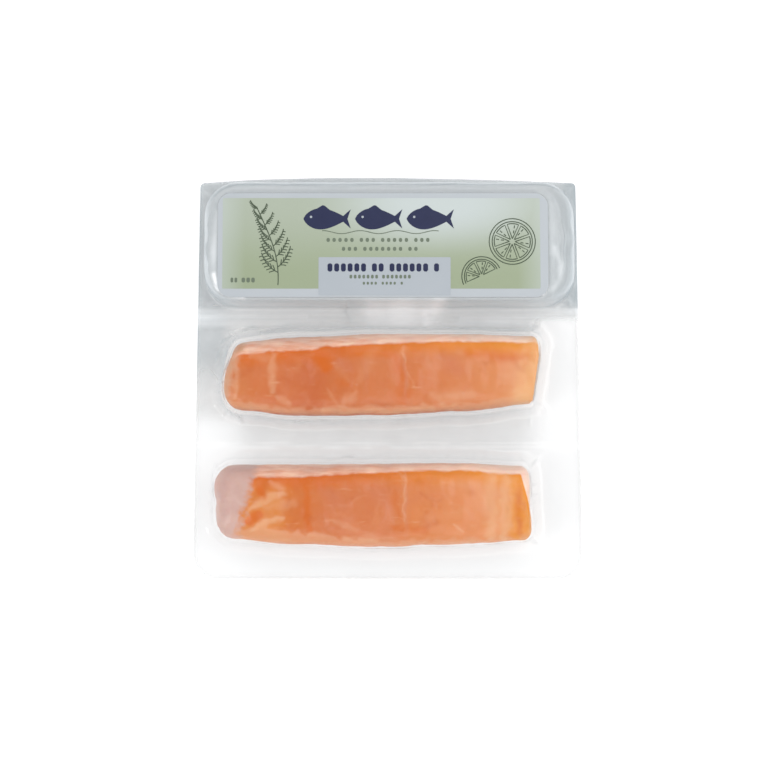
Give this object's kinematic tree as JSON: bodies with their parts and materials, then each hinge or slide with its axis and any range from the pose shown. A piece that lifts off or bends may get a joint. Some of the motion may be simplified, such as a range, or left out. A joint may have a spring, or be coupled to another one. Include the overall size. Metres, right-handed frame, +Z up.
{
  "type": "pack of frozen salmon loins",
  "caption": "Flat strip of clear formed film pockets holding frozen salmon loins, with a printed label over the shut pocket at one end.",
  "frame": {"origin": "middle of the underside of the strip, where it rests", "axes": "+Z up from the flat back film, +Y towards the labelled end, +X to the right when the label is at the top"},
  "size_m": [0.18, 0.1878, 0.0268],
  "materials": {
    "backing_film": "clear laminated film, slightly hazy",
    "clear_film": "clear thermoformed film, glossy and lightly creased",
    "label_paper": "coated paper, printed in pale green, white and navy",
    "salmon_flesh": "frozen raw salmon, orange with paler streaks and a pink skin side"
  },
  "bodies": {
    "root": {"back_film": "backing_film", "formed_film": "clear_film", "label": "label_paper", "salmon_loin_1": "salmon_flesh", "salmon_loin_2": "salmon_flesh"}
  },
  "joints": []
}
